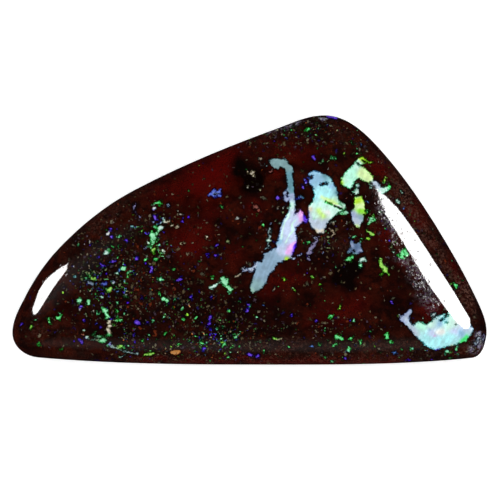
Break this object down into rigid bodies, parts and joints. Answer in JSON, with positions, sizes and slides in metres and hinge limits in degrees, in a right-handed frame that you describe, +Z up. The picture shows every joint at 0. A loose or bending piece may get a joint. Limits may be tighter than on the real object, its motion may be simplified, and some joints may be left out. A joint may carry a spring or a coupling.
{
  "type": "boulder opal cabochon",
  "caption": "Polished freeform cabochon of dark boulder opal with a low dome and a flat back, for setting or display.",
  "frame": {"origin": "on the flat back, under the middle of the outline's bounding box", "axes": "+X along the stone's length towards its steep end, +Y across it towards its upper corner, +Z up through the dome"},
  "size_m": [0.04, 0.021, 0.0052],
  "materials": {
    "opal_in_ironstone": "glassy polish on the dome and wall, ground matt on the back; dark red-brown ironstone with opal veins and specks of green, blue and violet"
  },
  "bodies": {
    "root": {"boulder_opal": "opal_in_ironstone"}
  },
  "joints": []
}
